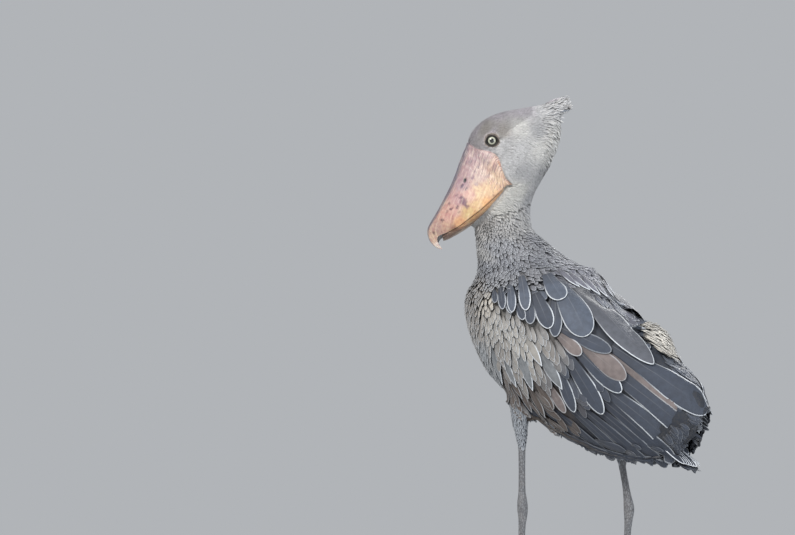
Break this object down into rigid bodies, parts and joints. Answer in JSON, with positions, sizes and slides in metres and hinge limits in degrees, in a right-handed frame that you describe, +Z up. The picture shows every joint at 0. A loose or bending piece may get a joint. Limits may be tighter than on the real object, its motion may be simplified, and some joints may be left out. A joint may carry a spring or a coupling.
{
  "type": "shoebill",
  "caption": "Life-size standing shoebill, a still model of a large grey wading bird with a broad hooked bill, a small crest, folded wings and long-toed feet.",
  "frame": {"origin": "on the floor under the middle of the box around the bird", "axes": "+Z up, -Y the way the body faces, +X towards the bird's left side"},
  "size_m": [0.3072, 0.6166, 1.0836],
  "materials": {
    "head_plumage": "short soft pale grey feathers",
    "body_plumage": "grey and brownish grey feathers with pale edges",
    "wing_plumage": "dark slate feathers with thin pale edges",
    "bill_horn": "dull horn, cream and pink with purple-grey blotches",
    "eye": "glossy, pale grey-green iris",
    "leg_skin": "dull scaly grey skin",
    "claw_horn": "dark satin horn"
  },
  "bodies": {
    "root": {"head": "head_plumage", "crest": "head_plumage", "neck": "body_plumage", "trunk": "body_plumage", "rump": "body_plumage", "wing_left": "wing_plumage", "wing_right": "wing_plumage", "tail": "wing_plumage", "thigh_left": "body_plumage", "thigh_right": "body_plumage", "bill_upper": "bill_horn", "bill_lower": "bill_horn", "eye_left": "eye", "eye_right": "eye", "shank_left": "leg_skin", "shank_right": "leg_skin", "toe_left_inner": "leg_skin", "toe_left_middle": "leg_skin", "toe_left_outer": "leg_skin", "toe_left_hind": "leg_skin", "toe_right_inner": "leg_skin", "toe_right_middle": "leg_skin", "toe_right_outer": "leg_skin", "toe_right_hind": "leg_skin", "claw_left_inner": "claw_horn", "claw_left_middle": "claw_horn", "claw_left_outer": "claw_horn", "claw_left_hind": "claw_horn", "claw_right_inner": "claw_horn", "claw_right_middle": "claw_horn", "claw_right_outer": "claw_horn", "claw_right_hind": "claw_horn"}
  },
  "joints": []
}
